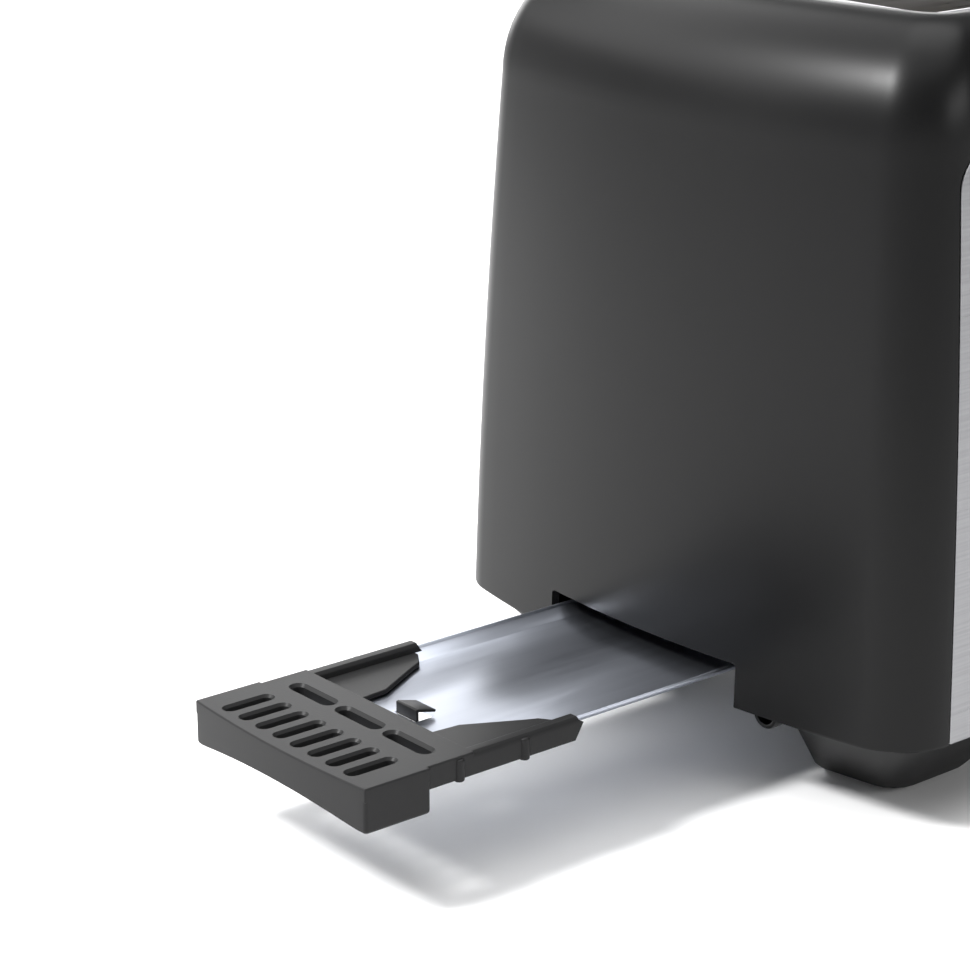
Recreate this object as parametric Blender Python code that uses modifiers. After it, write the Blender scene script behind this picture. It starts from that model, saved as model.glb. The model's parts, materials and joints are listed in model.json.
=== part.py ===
"""Two-slot pop up toaster with its crumb tray drawn out. Metres, +Z up.

Origin: centre of the outline's box on the surface it stands on. X runs from the crumb tray end (-X)
to the control end (+X). Local positions are given in millimetres from the tray end face.
"""
import math

import bmesh
import bpy
from mathutils import Matrix, Vector

MM = 0.001

# Driving dimensions, in millimetres
LENGTH = 272.0            # body, end face to end face at the lower edge
HALF_WIDTH = 86.5         # body, half width at the lower edge
SHELL_BOTTOM = 22.0       # height of the shell's lower edge
ROLL_START = 167.5        # where the side turns over into the top
ROLL_HEIGHT = 30.0        # height of that turn
ROLL_SIDE = 18.4          # how far the turn reaches in from a long side
ROLL_END = 25.0           # how far it reaches in from an end face
END_BOW = 0.0015          # the end faces are bowed: x moves in by END_BOW * y * y
CORNER = 14.0             # upright corner radius at the lower edge
RIM_CORNER = 6.0          # the same at the top rim
WALL = 2.6                # shell wall
GAP = 0.3                 # running gap between neighbouring pieces
TRAY_OUT = 116.0          # how far the tray's handle stands out of the end face
KNOB_OUT = 18.0           # how far the lever knob stands out of the control end

SLOT_Y = 41.5             # bread slot centre line
SLOT_WIDTH = 29.0
SLOT_X = (39.5, 199.5)
GUIDE_OFFSET = 11.5       # bread guide, from the slot's centre line
CHASSIS_X = (30.6, 205.0)
SHEET = 0.8               # chassis sheet thickness
CHASSIS_HALF = 62.0
CHASSIS_TOP = 186.0
RACK_Z = 108.0            # underside of the bread racks, raised
CARRIAGE_TRAVEL = 68.0
HIGH_LIFT = 8.0
CARRIAGE_X = 207.5
LEVER_Z = 150.0
ARMATURE_Z = 124.0
ROD_X = 214.0
ROD_Y = 7.0
MAGNET_X = 216.3

KNOB_Z = 46.0
KNOB_RADIUS = 15.0
BUTTON_Z = 68.0
BUTTON_PITCH = 14.0
BUTTON_RADIUS = 4.0

TRAY_HALF = 31.0          # pan
HANDLE_HALF = 34.5
NOTCH_HALF = 35.4
NOTCH_TOP = 34.5
HANDLE_TOP = 32.5
HANDLE_BOTTOM = 21.0
PAN_FLOOR = 28.0
PAN_WALL_TOP = 31.2
PAN_LENGTH = 231.0

FOOT_X = (3.0, 66.0)          # its outer edge then follows the bow
FOOT_Y = (47.6, 84.0)
SOLE_X = (23.5, 58.0)
SOLE_Y = (38.0, 66.0)
SOLE_Z = 0.8
FOOT_CORNER = 6.0
HOOK_X = (6.2, 10.2)          # cord hook: a half ring under the base
HOOK_Y = 42.2
HOOK_RADIUS = 4.2
HOOK_WALL = 1.3

CENTRE_X = (LENGTH + KNOB_OUT - TRAY_OUT) / 2

for old in list(bpy.data.objects):
    bpy.data.objects.remove(old, do_unlink=True)

parts = bpy.data.collections.new("pop_up_toaster")
cutters = bpy.data.collections.new("cutters")
bpy.context.scene.collection.children.link(parts)
bpy.context.scene.collection.children.link(cutters)


def at(x, y, z):
    """A local point in millimetres, as a world point in metres."""
    return Vector(((x - CENTRE_X) * MM, y * MM, z * MM))


def material(name, colour, roughness, metallic=0.0):
    """One Principled material."""
    made = bpy.data.materials.new(name)
    made.use_nodes = True
    shader = made.node_tree.nodes["Principled BSDF"]
    shader.inputs["Base Color"].default_value = (*colour, 1.0)
    shader.inputs["Roughness"].default_value = roughness
    shader.inputs["Metallic"].default_value = metallic
    return made


BLACK = ((0.022, 0.022, 0.024), 0.42, 0.0)
CHARCOAL = ((0.05, 0.05, 0.052), 0.5, 0.0)
BRUSHED = ((0.55, 0.55, 0.56), 0.32, 1.0)
BRIGHT = ((0.7, 0.72, 0.74), 0.15, 1.0)
GALVANISED = ((0.5, 0.51, 0.52), 0.4, 1.0)
MICA = ((0.62, 0.55, 0.42), 0.7, 0.0)
RUBBER = ((0.03, 0.03, 0.03), 0.85, 0.0)
COPPER = ((0.6, 0.28, 0.12), 0.35, 1.0)
BOARD = ((0.35, 0.26, 0.12), 0.6, 0.0)


def keep(obj, look):
    """Put a finished part in the parts collection with its own material."""
    for home in list(obj.users_collection):
        home.objects.unlink(obj)
    parts.objects.link(obj)
    obj.data.materials.clear()
    obj.data.materials.append(material(obj.name, *look))
    return obj


def helper(obj):
    """Put a cutter or a joined piece in the cutters collection, drawn as wire."""
    for home in list(obj.users_collection):
        home.objects.unlink(obj)
    cutters.objects.link(obj)
    obj.hide_render = True
    obj.display_type = "WIRE"
    return obj


def mesh_object(name, bm):
    """A new object that holds a finished bmesh."""
    mesh = bpy.data.meshes.new(name)
    bm.normal_update()
    bm.to_mesh(mesh)
    bm.free()
    obj = bpy.data.objects.new(name, mesh)
    bpy.context.scene.collection.objects.link(obj)
    return obj


def box(name, low, high, edge=0.0):
    """A box between two local corners, its edges bevelled when edge is given."""
    bm = bmesh.new()
    bmesh.ops.create_cube(bm, size=1.0)
    size = [(high[i] - low[i]) * MM for i in range(3)]
    middle = at(*[(low[i] + high[i]) / 2 for i in range(3)])
    bmesh.ops.scale(bm, vec=size, verts=bm.verts)
    bmesh.ops.translate(bm, vec=middle, verts=bm.verts)
    if edge:
        bmesh.ops.bevel(bm, geom=bm.edges[:], offset=edge * MM, segments=2, profile=0.5, affect="EDGES")
    return mesh_object(name, bm)


def round_bar(name, radius, start, end, sides=24):
    """A cylinder between two local points."""
    base = at(*start)
    tip = at(*end)
    along = tip - base
    bm = bmesh.new()
    bmesh.ops.create_cone(bm, cap_ends=True, segments=sides, radius1=radius * MM,
                          radius2=radius * MM, depth=along.length)
    turn = along.to_track_quat("Z", "Y").to_matrix().to_4x4()
    bmesh.ops.transform(bm, matrix=Matrix.Translation((base + tip) / 2) @ turn, verts=bm.verts)
    return mesh_object(name, bm)


def extruded(name, outline, travel):
    """A flat outline of local points, pushed along travel into a closed solid."""
    bm = bmesh.new()
    face = bm.faces.new([bm.verts.new(at(*point)) for point in outline])
    grown = bmesh.ops.extrude_face_region(bm, geom=[face])["geom"]
    moved = [item for item in grown if isinstance(item, bmesh.types.BMVert)]
    bmesh.ops.translate(bm, vec=[v * MM for v in travel], verts=moved)
    bmesh.ops.recalc_face_normals(bm, faces=bm.faces)
    return mesh_object(name, bm)


def obround(name, centre, length, width, height, along="X"):
    """An upright slot cutter with round ends, centred on a local point."""
    bm = bmesh.new()
    bmesh.ops.create_cube(bm, size=1.0)
    size = (length, width, height) if along == "X" else (width, length, height)
    bmesh.ops.scale(bm, vec=[v * MM for v in size], verts=bm.verts)
    upright = [e for e in bm.edges if abs(e.verts[0].co.z - e.verts[1].co.z) > height * MM / 2]
    bmesh.ops.bevel(bm, geom=upright, offset=width * 0.49 * MM, segments=3, profile=0.5, affect="EDGES")
    bmesh.ops.translate(bm, vec=at(*centre), verts=bm.verts)
    return mesh_object(name, bm)


def turned(name, profile, origin, along="Z", steps=32):
    """A turned piece: its (radius, height) profile runs top to bottom; along X the height points to +X."""
    bm = bmesh.new()
    points = [bm.verts.new((radius * MM, 0.0, height * MM)) for radius, height in profile]
    for first, second in zip(points, points[1:]):
        bm.edges.new((first, second))
    if profile[0] != profile[-1] and profile[0][0] > 0.0:
        bm.edges.new((points[-1], points[0]))
    obj = mesh_object(name, bm)
    screw = obj.modifiers.new("turn", "SCREW")
    screw.steps = steps
    screw.render_steps = steps
    screw.use_merge_vertices = True
    screw.merge_threshold = 0.00001
    if along == "X":
        obj.rotation_euler = (0.0, math.radians(90), 0.0)
    obj.location = at(*origin)
    return obj


def boolean(obj, other, operation):
    """Add an exact Boolean with a helper object."""
    helper(other)
    step = obj.modifiers.new(other.name, "BOOLEAN")
    step.operation = operation
    step.solver = "EXACT"
    step.object = other
    return obj


def cut(obj, other):
    return boolean(obj, other, "DIFFERENCE")


def join(obj, other):
    return boolean(obj, other, "UNION")


def smooth(obj, angle=35.0):
    obj.data.shade_smooth()
    obj.data.set_sharp_from_angle(angle=math.radians(angle))
    return obj


# The body's outer surface

def lean(z):
    """How far the upright walls lean in at height z."""
    rise = max(min(z, ROLL_START) - SHELL_BOTTOM, 0.0)
    return 0.022 * rise + 0.00013 * rise * rise


def end_bow(y):
    return END_BOW * y * y


def body_outline(half_length, half_width, corner, arc_steps=5, end_steps=6):
    """The plan outline as local (x, y) points, with round corners and bowed ends."""
    points = []
    straight = half_width - corner
    for sign_x, sign_y in ((1, 1), (-1, 1), (-1, -1), (1, -1)):
        arc = []
        for step in range(arc_steps + 1):
            turn = math.radians(90) * step / arc_steps
            arc.append((sign_x * (half_length - corner + corner * math.cos(turn)),
                        sign_y * (half_width - corner + corner * math.sin(turn))))
        if sign_x * sign_y < 0:
            arc.reverse()
        points += arc
        if sign_x < 0 < sign_y:
            points += [(-half_length, straight * (1 - 2 * s / end_steps)) for s in range(1, end_steps)]
        if sign_y < 0 < sign_x:
            points += [(half_length, straight * (2 * s / end_steps - 1)) for s in range(1, end_steps)]
    bowed = []
    for x, y in points:
        bowed.append((LENGTH / 2 + x - math.copysign(end_bow(y), x), y))
    return bowed


def body_sections():
    """Outline and height of each level of the shell, bottom to top."""
    sections = []
    for z in (SHELL_BOTTOM, 58.0, 95.0, 132.0, ROLL_START):
        sections.append((z, LENGTH / 2 - lean(z), HALF_WIDTH - lean(z), CORNER))
    inner = lean(ROLL_START)
    for step in range(1, 7):
        turn = math.radians(15 * step)
        back = 1 - math.cos(turn)
        sections.append((ROLL_START + ROLL_HEIGHT * math.sin(turn),
                         LENGTH / 2 - inner - ROLL_END * back,
                         HALF_WIDTH - inner - ROLL_SIDE * back,
                         CORNER - (CORNER - RIM_CORNER) * back))
    return sections


def lofted_shell(name):
    """The open outer surface, lofted through its levels."""
    bm = bmesh.new()
    loops = []
    for z, half_length, half_width, corner in body_sections():
        loop = [bm.verts.new(at(x, y, z)) for x, y in body_outline(half_length, half_width, corner)]
        loops.append(loop)
    count = len(loops[0])
    for low, high in zip(loops, loops[1:]):
        for i in range(count):
            j = (i + 1) % count
            bm.faces.new((low[i], low[j], high[j], high[i]))
    return mesh_object(name, bm)


def wall_patch(name, side, low, high, corner, lift, thickness):
    """A plate that follows the body wall: low and high are (along, z) corners, lift is outwards."""
    bm = bmesh.new()
    outline = []
    for cx, cz, start in ((high[0] - corner, high[1] - corner, 0), (low[0] + corner, high[1] - corner, 90),
                          (low[0] + corner, low[1] + corner, 180), (high[0] - corner, low[1] + corner, 270)):
        for step in range(5):
            turn = math.radians(start + 22.5 * step)
            outline.append((cx + corner * math.cos(turn), cz + corner * math.sin(turn)))
    bm.faces.new([bm.verts.new((u * MM, 0.0, z * MM)) for u, z in outline])
    levels = 7
    for step in range(1, levels):
        z = low[1] + (high[1] - low[1]) * step / levels
        bmesh.ops.bisect_plane(bm, geom=bm.verts[:] + bm.edges[:] + bm.faces[:],
                               plane_co=(0, 0, z * MM), plane_no=(0, 0, 1))
    if side == "control":
        for step in range(1, 4):
            u = low[0] + (high[0] - low[0]) * step / 4
            bmesh.ops.bisect_plane(bm, geom=bm.verts[:] + bm.edges[:] + bm.faces[:],
                                   plane_co=(u * MM, 0, 0), plane_no=(1, 0, 0))
    for vert in bm.verts:
        u = vert.co.x / MM
        z = vert.co.z / MM
        if side == "control":
            vert.co = at(LENGTH - lean(z) - end_bow(u) + lift, u, z)
        elif side == "front":
            vert.co = at(u, -(HALF_WIDTH - lean(z) + lift), z)
        else:
            vert.co = at(u, HALF_WIDTH - lean(z) + lift, z)
    outward = {"control": Vector((1, 0, 0)), "front": Vector((0, -1, 0)), "back": Vector((0, 1, 0))}[side]
    bm.normal_update()
    for face in bm.faces:
        if face.normal.dot(outward) < 0:
            face.normal_flip()
    obj = mesh_object(name, bm)
    plate = obj.modifiers.new("plate", "SOLIDIFY")
    plate.thickness = thickness * MM
    plate.offset = -1.0
    return obj


PANEL_LOW = (26.0, 25.0)
PANEL_HIGH = (LENGTH - 26.0, 168.5)
PANEL_CORNER = 9.0
BEZEL_LOW = (-23.0, 28.0)
BEZEL_HIGH = (23.0, 166.0)
BEZEL_CORNER = 8.0
LEVER_SLOT = (LEVER_Z - CARRIAGE_TRAVEL - 5.0, LEVER_Z + HIGH_LIFT + 5.0)


def control_cutters(owner):
    """Cutters for the lever slot, the knob shaft and the buttons, for one owner."""
    made = [box(owner + "_lever_slot", (255, -2.6, LEVER_SLOT[0]), (285, 2.6, LEVER_SLOT[1]))]
    made.append(round_bar(owner + "_shaft_hole", 4.0, (255, 0, KNOB_Z), (285, 0, KNOB_Z)))
    for place in (-1, 0, 1):
        y = place * BUTTON_PITCH
        made.append(round_bar(owner + "_button_hole_%d" % (place + 1), BUTTON_RADIUS + 0.4,
                              (255, y, BUTTON_Z), (285, y, BUTTON_Z)))
    return made


def housing():
    """Moulded shell, its steel side panels, control bezel and steel top plate."""
    shell = lofted_shell("housing_shell")
    wall = shell.modifiers.new("wall", "SOLIDIFY")
    wall.thickness = WALL * MM
    wall.offset = -1.0
    cut(shell, box("tray_notch", (-5, -NOTCH_HALF, 10), (30, NOTCH_HALF, NOTCH_TOP)))
    for side in ("front", "back"):
        cut(shell, wall_patch("recess_" + side, side, (PANEL_LOW[0] - GAP, PANEL_LOW[1] - GAP),
                              (PANEL_HIGH[0] + GAP, PANEL_HIGH[1] + GAP), PANEL_CORNER + GAP, 1.0, 2.2))
    cut(shell, wall_patch("recess_control", "control", (BEZEL_LOW[0] - GAP, BEZEL_LOW[1] - GAP),
                          (BEZEL_HIGH[0] + GAP, BEZEL_HIGH[1] + GAP), BEZEL_CORNER + GAP, 1.0, 1.9))
    for tool in control_cutters("shell"):
        cut(shell, tool)
    keep(smooth(shell), BLACK)

    for side in ("front", "back"):
        panel = wall_patch("steel_panel_" + side, side, PANEL_LOW, PANEL_HIGH, PANEL_CORNER, -0.1, 0.8)
        keep(smooth(panel), BRUSHED)
    bezel = wall_patch("control_bezel", "control", BEZEL_LOW, BEZEL_HIGH, BEZEL_CORNER, 0.6, 1.2)
    for tool in control_cutters("bezel"):
        cut(bezel, tool)
    keep(smooth(bezel), BRUSHED)

    rim_z, rim_length, rim_width, rim_corner = body_sections()[-1]
    clear = 0.9
    outline = body_outline(rim_length - clear, rim_width - clear, rim_corner - clear)
    plate = extruded("top_plate", [(x, y, rim_z - 1.9) for x, y in outline], (0, 0, 0.9))
    for side, name in ((-1, "front"), (1, "back")):
        y = side * SLOT_Y
        half = SLOT_WIDTH / 2
        join(plate, box("slot_collar_" + name, (SLOT_X[0] - 1, y - half - 1, 188.0),
                        (SLOT_X[1] + 1, y + half + 1, 196.0)))
    for side, name in ((-1, "front"), (1, "back")):
        cut(plate, box("bread_slot_" + name, (SLOT_X[0], side * SLOT_Y - SLOT_WIDTH / 2, 180),
                       (SLOT_X[1], side * SLOT_Y + SLOT_WIDTH / 2, 204)))
    keep(plate, BRIGHT)


def underside():
    """Base plate, four moulded feet with rubber pads, cord cleats, cord gland and screws."""
    inset = WALL + 0.5
    outline = body_outline(LENGTH / 2 - inset, HALF_WIDTH - inset, CORNER - inset)
    base = extruded("base_plate", [(x, y, SHELL_BOTTOM) for x, y in outline], (0, 0, 2.4))
    cut(base, box("handle_bay", (-5, -NOTCH_HALF - 0.5, 15), (37, NOTCH_HALF + 0.5, 30)))
    gland_x = 136.0
    gland_y = 66.0
    cut(base, round_bar("gland_hole", 5.4, (gland_x, gland_y, 15), (gland_x, gland_y, 30)))
    screw_places = [(x, y) for x in (95.0, 177.0) for y in (-60.0, 60.0)]
    for number, (x, y) in enumerate(screw_places, 1):
        cut(base, round_bar("screw_hole_%d" % number, 1.8, (x, y, 15), (x, y, 30), 16))
        head = turned("base_screw_%d" % number,
                      [(0.0, 32.0), (1.4, 31.2), (1.4, 21.7), (3.2, 21.7), (2.9, 20.0), (0.0, 19.7)],
                      (x, y, 0), steps=16)
        keep(smooth(head), GALVANISED)
    keep(base, BLACK)

    gland = turned("cord_gland", [(5.0, 30.0), (5.0, 21.7), (8.0, 21.7), (7.4, 19.6), (4.0, 19.6), (4.0, 30.0)],
                   (gland_x, gland_y, 0), steps=24)
    keep(smooth(gland), RUBBER)

    for number, (end, side) in enumerate(((0, -1), (0, 1), (1, -1), (1, 1)), 1):
        def place(x, y, z):
            return at(LENGTH - x if end else x, side * y, z)
        bm = bmesh.new()
        bmesh.ops.create_cube(bm, size=1.0)
        for vert in bm.verts:
            high = vert.co.z > 0
            span_x = FOOT_X if high else SOLE_X
            span_y = FOOT_Y if high else SOLE_Y
            y = span_y[1] if vert.co.y > 0 else span_y[0]
            x = span_x[1] if vert.co.x > 0 else span_x[0] + end_bow(y)
            vert.co = place(x, y, SHELL_BOTTOM - GAP if high else SOLE_Z)
        bmesh.ops.recalc_face_normals(bm, faces=bm.faces)
        upright = [e for e in bm.edges if abs(e.verts[0].co.z - e.verts[1].co.z) > 0.01]
        bmesh.ops.bevel(bm, geom=upright, offset=FOOT_CORNER * MM, segments=4, profile=0.5, affect="EDGES")
        sole = [e for e in bm.edges if max(v.co.z for v in e.verts) < SOLE_Z * MM + 0.0001]
        bmesh.ops.bevel(bm, geom=sole, offset=2.2 * MM, segments=2, profile=0.5, affect="EDGES")
        foot = mesh_object("foot_%d" % number, bm)
        pad_x = (SOLE_X[0] + SOLE_X[1]) / 2
        pad_x = LENGTH - pad_x if end else pad_x
        pad_y = side * (SOLE_Y[0] + SOLE_Y[1]) / 2
        cut(foot, round_bar("pad_recess_%d" % number, 7.4, (pad_x, pad_y, -2), (pad_x, pad_y, 2.1), 20))
        keep(smooth(foot), BLACK)
        pad = turned("foot_pad_%d" % number, [(0.0, 1.8), (7.0, 1.8), (7.0, 0.5), (6.5, 0.0), (0.0, 0.0)],
                     (pad_x, pad_y, 0), steps=20)
        keep(smooth(pad), RUBBER)

    for number, end in enumerate((0, 1), 1):
        low_x, high_x = (LENGTH - HOOK_X[1], LENGTH - HOOK_X[0]) if end else HOOK_X
        y = HOOK_Y if end else -HOOK_Y
        top = SHELL_BOTTOM - GAP
        cleat = round_bar("cord_cleat_%d" % number, HOOK_RADIUS, (low_x, y, top), (high_x, y, top), 32)
        cut(cleat, round_bar("cleat_bore_%d" % number, HOOK_RADIUS - HOOK_WALL,
                             (low_x - 1, y, top), (high_x + 1, y, top), 32))
        cut(cleat, box("cleat_half_%d" % number, (low_x - 1, y - 6, top), (high_x + 1, y + 6, top + 6)))
        keep(smooth(cleat), BLACK)


def chassis():
    """Sheet steel end plates, heat shields, crumb deflectors and the mica heater cards."""
    half = CHASSIS_HALF
    for end, name in enumerate(("chassis_plate_tray_end", "chassis_plate_control_end")):
        x = CHASSIS_X[end]
        plate = box(name, (x, -half, 24.8), (x + SHEET, half, CHASSIS_TOP))
        cut(plate, box(name + "_tray_way", (x - 2, -NOTCH_HALF - 1, 20), (x + 3, NOTCH_HALF + 1, 35.0)))
        if end:
            for side in (-1, 1):
                y = side * SLOT_Y
                cut(plate, box(name + "_rack_way_%d" % (side + 1), (x - 2, y - 3.8, 38.6),
                               (x + 3, y + 3.8, RACK_Z + 8.0 + HIGH_LIFT + 3.0)))
        keep(plate, GALVANISED)
    low_x = CHASSIS_X[0] + SHEET + GAP
    high_x = CHASSIS_X[1] - GAP
    for side, name in ((-1, "front"), (1, "back")):
        wall_y = sorted((side * (half - SHEET), side * half))
        keep(box("heat_shield_" + name, (low_x, wall_y[0], 47.0), (high_x, wall_y[1], CHASSIS_TOP)), GALVANISED)
        corners = ((33.5, 35.0), (60.5, 44.0), (60.5, 44.6), (33.5, 35.6))
        slope = [(low_x, side * y, z) for y, z in corners]
        keep(extruded("crumb_deflector_" + name, slope, (high_x - low_x, 0, 0)), GALVANISED)
        for place, card_y in (("inner", 20.0), ("outer", 58.0)):
            span = sorted((side * card_y, side * (card_y + SHEET)))
            card = box("heater_card_%s_%s" % (name, place), (low_x + 1.0, span[0], 60.0),
                       (high_x - 1.0, span[1], 176.0))
            keep(card, MICA)


def bread_guides():
    """Four bent wire guides; each closes on the bread as the carriage goes down."""
    for side, name in ((-1, "front"), (1, "back")):
        for inward, place in ((-1, "inner"), (1, "outer")):
            y = side * (SLOT_Y + inward * GUIDE_OFFSET)
            curve = bpy.data.curves.new("bread_guide_%s_%s_wire" % (name, place), "CURVE")
            curve.dimensions = "3D"
            curve.bevel_depth = 0.9 * MM
            curve.bevel_resolution = 1
            curve.use_fill_caps = True
            path = []
            wires = 10
            for wire in range(wires):
                x = SLOT_X[0] + 4.0 + (SLOT_X[1] - SLOT_X[0] - 6.0) * wire / (wires - 1)
                ends = (52.0, 184.0) if wire % 2 == 0 else (184.0, 52.0)
                path += [(x, ends[0]), (x, ends[1])]
            spline = curve.splines.new("POLY")
            spline.points.add(len(path) - 1)
            for point, (x, z) in zip(spline.points, path):
                point.co = (*at(x, y, z), 1.0)
            wire_obj = bpy.data.objects.new(curve.name, curve)
            bpy.context.scene.collection.objects.link(wire_obj)
            keep(as_mesh(wire_obj, "bread_guide_%s_%s" % (name, place)), BRIGHT)


def as_mesh(curve_obj, name):
    """A curve turned into a closed mesh object."""
    bpy.context.view_layer.update()
    graph = bpy.context.evaluated_depsgraph_get()
    mesh = bpy.data.meshes.new_from_object(curve_obj.evaluated_get(graph))
    bm = bmesh.new()
    bm.from_mesh(mesh)
    bmesh.ops.remove_doubles(bm, verts=bm.verts, dist=0.00001)
    bm.to_mesh(mesh)
    bm.free()
    obj = bpy.data.objects.new(name, mesh)
    obj.matrix_world = curve_obj.matrix_world.copy()
    bpy.context.scene.collection.objects.link(obj)
    bpy.data.objects.remove(curve_obj, do_unlink=True)
    return smooth(obj)


def carriage():
    """Bread racks, carriage bracket, lever and its knob, guide rod, spring and electromagnet."""
    x = CARRIAGE_X
    for side, name in ((-1, "front"), (1, "back")):
        y = side * SLOT_Y
        rack = box("bread_rack_" + name, (SLOT_X[0] + 2.0, y - 3.0, RACK_Z), (x - GAP, y + 3.0, RACK_Z + 8.0))
        teeth = 9
        for tooth in range(teeth):
            tooth_x = SLOT_X[0] + 9.0 + 17.0 * tooth
            cut(rack, box("rack_%s_gap_%d" % (name, tooth), (tooth_x, y - 4, RACK_Z + 4.0),
                          (tooth_x + 9.0, y + 4, RACK_Z + 10.0)))
        keep(rack, GALVANISED)
    bracket = box("carriage_bracket", (x, -46.0, RACK_Z - 2), (x + 1.5, 46.0, RACK_Z + 10))
    join(bracket, box("bracket_upright", (x, -12.0, RACK_Z - 1), (x + 1.5, 12.0, LEVER_Z + 6)))
    join(bracket, box("bracket_tab", (x, -35.0, RACK_Z - 1), (x + 1.5, -21.0, ARMATURE_Z + 2)))
    join(bracket, box("bracket_slider", (x + 0.5, ROD_Y - 4, 121), (ROD_X + 4, ROD_Y + 4, 129)))
    join(bracket, box("spring_ledge", (x + 0.5, -12.0, 127), (ROD_X + 4, -4.0, 128.5)))
    cut(bracket, round_bar("slider_bore", 2.4, (ROD_X, ROD_Y, 110), (ROD_X, ROD_Y, 140)))
    keep(bracket, GALVANISED)
    keep(box("armature", (x + 1.8, -34, ARMATURE_Z), (x + 13, -22, ARMATURE_Z + 2)), GALVANISED)

    arm = box("lever_arm", (x + 1.8, -1.5, LEVER_Z - 3), (LENGTH + 6.0, 1.5, LEVER_Z + 3))
    keep(arm, GALVANISED)
    knob = box("lever_knob", (LENGTH + 1.6, -19, LEVER_Z - 7), (LENGTH + KNOB_OUT, 19, LEVER_Z + 7), 3.0)
    cut(knob, box("knob_pocket", (LENGTH, -1.8, LEVER_Z - 3.3), (LENGTH + 6.4, 1.8, LEVER_Z + 3.3)))
    keep(smooth(knob), BLACK)

    keep(smooth(round_bar("guide_rod", 2.0, (ROD_X, ROD_Y, 37.0), (ROD_X, ROD_Y, 184.0))), BRIGHT)
    for name, low, high in (("upper", 184.3, 186.0), ("lower", 35.2, 36.7)):
        keep(box("rod_bracket_" + name, (CHASSIS_X[1] + SHEET + GAP, ROD_Y - 4, low),
                 (ROD_X + 4, ROD_Y + 4, high)), GALVANISED)

    spring = bpy.data.curves.new("spring_wire", "CURVE")
    spring.dimensions = "3D"
    spring.bevel_depth = 0.45 * MM
    spring.bevel_resolution = 1
    spring.use_fill_caps = True
    turns = 9
    per_turn = 9
    low_z = 129.4
    high_z = 183.0
    line = spring.splines.new("POLY")
    line.points.add(turns * per_turn)
    for step, point in enumerate(line.points):
        angle = 2 * math.pi * step / per_turn
        rise = low_z + (high_z - low_z) * step / (turns * per_turn)
        point.co = (*at(ROD_X + 3.0 * math.cos(angle), -8.0 + 3.0 * math.sin(angle), rise), 1.0)
    spring_obj = bpy.data.objects.new("spring_wire", spring)
    bpy.context.scene.collection.objects.link(spring_obj)
    keep(as_mesh(spring_obj, "lift_spring"), BRIGHT)

    bottom = ARMATURE_Z - CARRIAGE_TRAVEL - GAP
    core = box("magnet_core", (x + 2, -34, 36.5), (x + 14, -22, 39.5))
    join(core, round_bar("magnet_pole", 3.0, (MAGNET_X, -28, 38), (MAGNET_X, -28, bottom)))
    keep(core, GALVANISED)
    coil = turned("magnet_coil", [(5.6, 53.0), (5.6, 40.0), (3.4, 40.0), (3.4, 53.0)],
                  (MAGNET_X, -28, 0), steps=20)
    keep(smooth(coil), COPPER)


def controls():
    """Circuit board, browning control and the three push buttons."""
    keep(box("circuit_board", (251.0, -34, 37.0), (252.6, 34, 74.5)), BOARD)
    pot = turned("browning_control_body", [(8.0, 7.0), (8.0, 0.0), (3.5, 0.0), (3.5, 7.0)],
                 (252.9, 0, KNOB_Z), "X", steps=24)
    keep(smooth(pot), GALVANISED)
    keep(smooth(round_bar("browning_shaft", 3.0, (253.3, 0, KNOB_Z), (LENGTH + 7.0, 0, KNOB_Z))), GALVANISED)
    face = LENGTH + 0.9
    knob = turned("browning_knob", [(0.0, 13.5), (12.6, 13.5), (13.8, 12.4), (KNOB_RADIUS - 0.4, 3.0),
                                    (KNOB_RADIUS, 2.0), (KNOB_RADIUS, 0.0), (3.4, 0.0), (3.4, 6.6), (0.0, 6.6)],
                  (face, 0, KNOB_Z), "X", steps=40)
    keep(smooth(knob), BLACK)
    for place, name in ((-1, "cancel"), (0, "reheat"), (1, "defrost")):
        y = place * BUTTON_PITCH
        radius = BUTTON_RADIUS
        button = turned("button_" + name, [(0.0, 18.6), (radius - 0.8, 18.6), (radius, 17.8), (radius, 9.6),
                                           (radius + 1.4, 9.6), (radius + 1.4, 8.0), (2.0, 8.0),
                                           (2.0, 0.0), (0.0, 0.0)],
                        (256.0, y, BUTTON_Z), "X", steps=20)
        keep(smooth(button), BLACK)
        keep(box("switch_" + name, (252.9, y - 3, BUTTON_Z - 3), (253.7, y + 3, BUTTON_Z + 3)), BLACK)


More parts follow.
